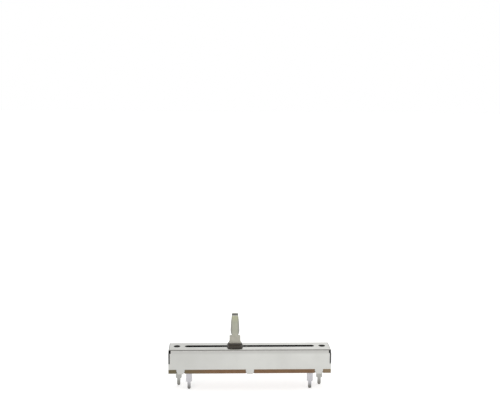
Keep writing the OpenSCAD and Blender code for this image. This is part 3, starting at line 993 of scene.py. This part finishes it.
class Dresser:
    """Gives CAD nodes their finish, as they are or as copies with rounded edges."""

    merge_distance: float = 0.002 * MM
    flat_deg: float = 0.5
    rounding_segments: int = 3

    def __init__(self, frame: dict[str, Any], groups: GroupKit) -> None:
        """Keeps what every sub-assembly needs.

        Args:
            groups: The shared node groups.
        """
        self.nodes = frame["nodes"]
        self.slots = {row["node"]: row["material_slot"] for row in frame["record"]["subparts"]}
        self.groups = groups

    def paint(self, nodes: Sequence[str], material: bpy.types.Material) -> None:
        """Gives CAD nodes a material as they are.

        Args:
            nodes: The nodes.
            material: Their finish.
        """
        for node in nodes:
            mesh = self.nodes[node].data
            mesh.materials.clear()
            mesh.materials.append(material)
            LOG.info("painted %s with %s", node, material.name)

    def rounded(self, node: str, body: Body, material: bpy.types.Material, radius: float,
                angle_deg: float = 28.0, merge_flat: bool = True) -> None:
        """Replaces a CAD node with a copy whose sharp edges are rounded.

        Args:
            node: The node.
            body: The body that the copy rides on.
            material: Its finish.
            radius: Width of the rounding.
            angle_deg: Edges that turn more than this are rounded.
            merge_flat: Whether flat neighbours become one face first.
        """
        mesh = self._merged(node, merge_flat)
        mesh.materials.clear()
        mesh.materials.append(material)
        piece = bpy.data.objects.new(f"{node}_finished", mesh)
        bpy.context.collection.objects.link(piece)
        bevel = piece.modifiers.new("edge_rounding", "BEVEL")
        bevel.width = radius
        bevel.segments = self.rounding_segments
        bevel.limit_method = "ANGLE"
        bevel.angle_limit = math.radians(angle_deg)
        bevel.use_clamp_overlap = True
        bevel.harden_normals = True
        settle(piece)
        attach(piece, body.value)
        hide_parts(node)
        LOG.info("rounded %s, %d faces", piece.name, len(piece.data.polygons))

    def _merged(self, node: str, merge_flat: bool) -> bpy.types.Mesh:
        """Copies a CAD node's mesh and joins its loose triangles.

        Args:
            node: The node.
            merge_flat: Whether flat neighbours become one face.

        Returns:
            The joined mesh, with no edge marked as sharp.
        """
        mesh = self.nodes[node].data.copy()
        work = bmesh.new()
        work.from_mesh(mesh)
        bmesh.ops.remove_doubles(work, verts=work.verts, dist=self.merge_distance)
        if merge_flat:
            bmesh.ops.dissolve_limit(work, angle_limit=math.radians(self.flat_deg),
                                     verts=work.verts, edges=work.edges)
        work.to_mesh(mesh)
        work.free()
        sharp = mesh.attributes.get("sharp_edge")
        if sharp is not None:
            mesh.attributes.remove(sharp)
        return mesh


@dataclass
class FoldedCase:
    """The folded sheet and the threads of its two tapped holes.

    Its length, depth and top and the board's top are read from the frame.
    """

    sheet: float = 0.4 * MM
    seam: float = 0.12 * MM
    ear: float = 2.1 * MM
    relief_length: float = 0.85 * MM
    relief_height: float = 1.05 * MM
    relief_depth: float = 0.6 * MM
    relief_drop: float = 0.3 * MM
    hole_radius: float = 1.25 * MM
    hole_depth: float = 1.0 * MM
    screw_pitch: float = 54.0 * MM
    thread_pitch: float = 0.5 * MM
    thread_rise: float = 0.16 * MM
    turn_steps: int = 40
    ridge_sides: int = 6
    length: float = field(init=False)
    depth: float = field(init=False)
    top: float = field(init=False)
    board_top: float = field(init=False)

    def __post_init__(self) -> None:
        """Reads the outer sizes from the frame."""
        low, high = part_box("case")
        self.length, self.depth, self.top = high.x - low.x, high.y - low.y, high.z
        self.board_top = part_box("base_board")[1].z

    def build(self, dresser: Dresser) -> None:
        """Paints the case and cuts the threads.

        Args:
            dresser: Paints nodes and holds the shared groups.
        """
        dresser.paint(["case"], TinnedSheet().build(dresser.groups, self))
        # painted shade: the thread darkens towards the bottom of its hole
        finish = PlatedMetal("cut_thread", low=srgb(24, 24, 24), high=srgb(120, 119, 116),
                             tint=srgb(40, 40, 39), heights=(self.top - self.hole_depth, self.top))
        helix = self._helix_tree(finish.build(dresser.groups))
        for side, name in ((-1, "thread_left"), (1, "thread_right")):
            mouth = Vector((side * self.screw_pitch / 2, 0.0, self.top))
            self._thread(name, mouth, helix)

    def _thread(self, name: str, mouth: Vector, helix: bpy.types.NodeTree) -> None:
        """Makes the thread of one tapped hole as a helical ridge on its wall.

        Args:
            name: The piece's name.
            mouth: Middle of the hole's mouth.
            helix: The geometry nodes of the ridge.
        """
        piece = bpy.data.objects.new(name, bpy.data.meshes.new(name))
        bpy.context.collection.objects.link(piece)
        modifier = piece.modifiers.new("helix", "NODES")
        modifier.node_group = helix
        values = {"Radius": self.hole_radius, "Pitch": self.thread_pitch, "Rise": self.thread_rise,
                  "Turns": (self.hole_depth - 2 * self.thread_rise) / self.thread_pitch,
                  "Start": mouth - Vector((0.0, 0.0, self.hole_depth - self.thread_rise))}
        for item in helix.interface.items_tree:
            if item.item_type == "SOCKET" and item.in_out == "INPUT":
                modifier[item.identifier] = values[item.name]
        settle(piece)
        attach(piece, Body.FRAME.value)
        LOG.info("cut %s, %d faces", name, len(piece.data.polygons))

    def _helix_tree(self, material: bpy.types.Material) -> bpy.types.NodeTree:
        """Builds the geometry nodes of a helical ridge.

        Args:
            material: Finish of the ridge.

        Returns:
            The node tree.
        """
        graph = GroupGraph(
            "thread_helix", "GeometryNodeTree",
            {"Radius": (Socket.NUMBER, self.hole_radius),
             "Pitch": (Socket.NUMBER, self.thread_pitch),
             "Rise": (Socket.NUMBER, self.thread_rise), "Turns": (Socket.NUMBER, 1.0),
             "Start": (Socket.VECTOR, (0.0, 0.0, 0.0))},
            {"Geometry": Socket.GEOMETRY},
        )
        given = graph.given
        spiral = graph.add("GeometryNodeCurveSpiral", Resolution=self.turn_steps,
                           Rotations=given["Turns"], Start_Radius=given["Radius"],
                           End_Radius=given["Radius"],
                           Height=graph.times(given["Pitch"], given["Turns"]))
        ridge = graph.add("GeometryNodeCurvePrimitiveCircle", Resolution=self.ridge_sides,
                          Radius=given["Rise"])
        tube = graph.add("GeometryNodeCurveToMesh", Curve=spiral.outputs[0],
                         Profile_Curve=ridge.outputs[0], Fill_Caps=True)
        moved = graph.add("GeometryNodeTransform", Geometry=tube.outputs[0],
                          Translation=given["Start"])
        real = graph.add("GeometryNodeRealizeInstances", Geometry=moved.outputs[0])
        dressed = graph.add("GeometryNodeSetMaterial", Geometry=real.outputs[0], Material=material)
        graph.feed(graph.result["Geometry"], dressed.outputs[0])
        return graph.tree


@dataclass
class BoardAssembly:
    """The base board with its printed tracks and its four terminals.

    A terminal's tone changes between two shares of its reach below the board, from its tip up.
    """

    edge_radius: float = 0.05 * MM
    front_shares: Span = (0.04, 0.46)
    rear_shares: Span = (0.08, 0.42)

    def build(self, dresser: Dresser) -> None:
        """Dresses the board, the tracks and the terminals.

        Args:
            dresser: Paints and rounds nodes.
        """
        low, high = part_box("base_board")
        dresser.paint(["base_board"], PaperLaminate().build(dresser.groups, high.x - low.x))
        carbon = PrintedFilm("carbon_print", color=srgb(34, 34, 36), speck=srgb(60, 60, 62),
                             metallic=0.0, roughness=0.55)
        silver = PrintedFilm("silver_print", color=srgb(196, 195, 190), speck=srgb(160, 158, 150),
                             metallic=1.0, roughness=0.5)
        dresser.paint(["resistive_track"], carbon.build(dresser.groups))
        dresser.paint(["collector_track", "track_pad_left", "track_pad_right"],
                      silver.build(dresser.groups))
        self._terminals(dresser, low.z)

    def _terminals(self, dresser: Dresser, board_foot: float) -> None:
        """Rounds the terminals.

        Args:
            dresser: Rounds nodes.
            board_foot: Height of the board's underside.
        """
        plated = MetalSurface(roughness=0.32)
        front = PlatedMetal(
            "front_terminal", low=srgb(124, 124, 120), high=srgb(206, 205, 209),
            tint=srgb(180, 178, 182), heights=self._heights(board_foot, self.front_shares),
            surface=plated)
        # painted shade: the rear terminals are a darker copy of the front ones, as they stand in
        # the shade
        rear = PlatedMetal(
            "rear_terminal", low=srgb(146, 145, 140), high=srgb(188, 188, 184),
            tint=srgb(156, 156, 150), heights=self._heights(board_foot, self.rear_shares),
            surface=plated)
        for finish, nodes in ((front, ("terminal_1", "terminal_3")),
                              (rear, ("terminal_2_left", "terminal_2_right"))):
            material = finish.build(dresser.groups)
            for node in nodes:
                dresser.rounded(node, Body.FRAME, material, self.edge_radius)

    @staticmethod
    def _heights(board_foot: float, shares: Span) -> Span:
        """Turns shares of the height under the board into heights over the floor."""
        return board_foot * shares[0], board_foot * shares[1]


@dataclass
class Mechanism:
    """What shows through the slot and the screw holes: rods, blocks, pads, slider and wiper."""

    tone_heights: Span = (0.0, 30 * MM)

    def build(self, dresser: Dresser) -> None:
        """Dresses the inner pieces.

        Args:
            dresser: Paints nodes.
        """
        steel = PlatedMetal("ground_rod", low=srgb(176, 177, 180), high=srgb(188, 189, 192),
                            tint=srgb(150, 150, 154), heights=self.tone_heights,
                            surface=MetalSurface(roughness=0.18, contrast=0.15))
        black = MouldedPlastic("black_moulding", color=srgb(30, 30, 32), worn=srgb(46, 46, 48))
        rubber = MouldedPlastic("pad_rubber", color=srgb(38, 38, 38), worn=srgb(52, 52, 52),
                                roughness=0.8)
        acetal = MouldedPlastic("natural_acetal", color=srgb(246, 245, 240),
                                worn=srgb(232, 229, 220), roughness=0.35, wear=0.2,
                                glow_through=0.7)
        bronze = PlatedMetal("bronze_spring", low=srgb(206, 156, 96), high=srgb(206, 156, 96),
                             tint=srgb(180, 128, 72), heights=self.tone_heights,
                             surface=MetalSurface(roughness=0.25))
        for finish, nodes in ((steel, ("guide_rod_front", "guide_rod_rear")),
                              (black, ("end_block_left", "end_block_right")),
                              (rubber, ("stop_pad_left", "stop_pad_right")),
                              (acetal, ("slider",)), (bronze, ("wiper",))):
            dresser.paint(nodes, finish.build(dresser.groups))


@dataclass
class LeverAssembly:
    """The lever's blade and the moulded collar round its root."""

    blade_radius: float = 0.06 * MM
    collar_radius: float = 0.05 * MM
    collar_angle_deg: float = 20.0

    def build(self, dresser: Dresser) -> None:
        """Dresses the lever and its collar.

        Args:
            dresser: Rounds nodes.
        """
        low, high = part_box("lever")
        blade = NickelBlade().build(dresser.groups, low, high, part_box("case")[1].z)
        dresser.rounded("lever", Body.SLIDER, blade, self.blade_radius)
        collar = MouldedPlastic("brown_moulding", color=srgb(46, 40, 32), worn=srgb(60, 54, 44),
                                wear=0.25)
        dresser.rounded("lever_collar", Body.SLIDER, collar.build(dresser.groups),
                        self.collar_radius, self.collar_angle_deg, merge_flat=False)


def main() -> None:
    """Loads the frame and builds the sub-assemblies round it."""
    logging.basicConfig(level=logging.INFO, format="%(name)s: %(message)s")
    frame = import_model()
    PhotoCamera().build()
    Studio().build()
    dresser = Dresser(frame, GroupKit())
    for assembly in (FoldedCase(), BoardAssembly(), Mechanism(), LeverAssembly()):
        assembly.build(dresser)
        LOG.info("built %s", type(assembly).__name__)


if __name__ == "__main__":
    main()
